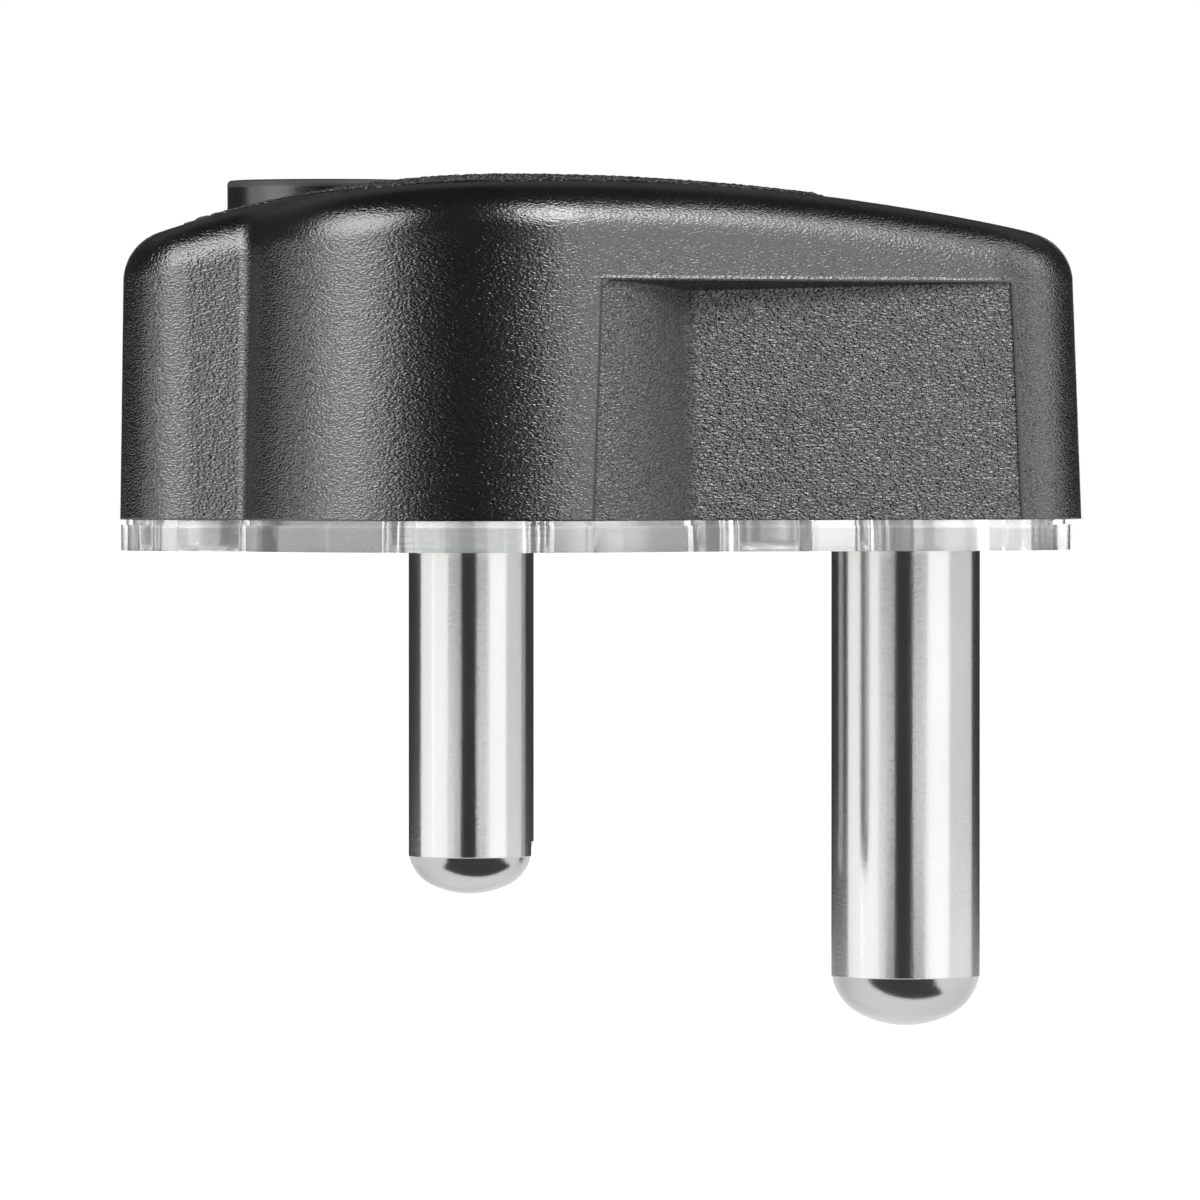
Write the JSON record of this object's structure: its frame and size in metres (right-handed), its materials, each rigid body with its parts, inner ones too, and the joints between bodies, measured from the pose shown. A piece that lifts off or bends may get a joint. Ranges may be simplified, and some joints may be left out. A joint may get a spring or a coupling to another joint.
{
  "type": "rubber plug top",
  "caption": "Rewirable plug top with round plated pins, a grained black rubber cover with side grips, a clear base plate and a cord sleeve on top.",
  "frame": {"origin": "on the base plate's outer face, midway between the line and the neutral pin", "axes": "+Z from the plate into the cover, so the pins point along -Z; +X towards the earth pin; +Y from the line pin to the neutral pin"},
  "size_m": [0.0561, 0.044, 0.0498],
  "materials": {
    "cover_rubber": "fine leathery grain, half matt",
    "clear_plate": "clear, moulded, polished",
    "housing_plastic": "natural moulded insulator",
    "plated_pin": "bright nickel plate, fine turned lines",
    "sleeve_rubber": "smooth, soft",
    "clamp_plastic": "moulded, fine grain",
    "screw_steel": "zinc plated",
    "insert_brass": "turned"
  },
  "bodies": {
    "root": {"cover": "cover_rubber", "base_plate": "clear_plate", "terminal_housing": "housing_plastic", "line_pin": "plated_pin", "neutral_pin": "plated_pin", "earth_pin": "plated_pin", "cord_sleeve": "sleeve_rubber", "cord_clamp_bar": "clamp_plastic", "line_terminal_screw": "screw_steel", "neutral_terminal_screw": "screw_steel", "earth_terminal_screw": "screw_steel", "clamp_screw_line_side": "screw_steel", "clamp_screw_neutral_side": "screw_steel", "cover_screw_middle": "screw_steel", "cover_screw_line_side": "screw_steel", "cover_screw_neutral_side": "screw_steel", "screw_insert_middle": "insert_brass", "screw_insert_line_side": "insert_brass", "screw_insert_neutral_side": "insert_brass", "clamp_nut_line_side": "insert_brass", "clamp_nut_neutral_side": "insert_brass"}
  },
  "joints": []
}
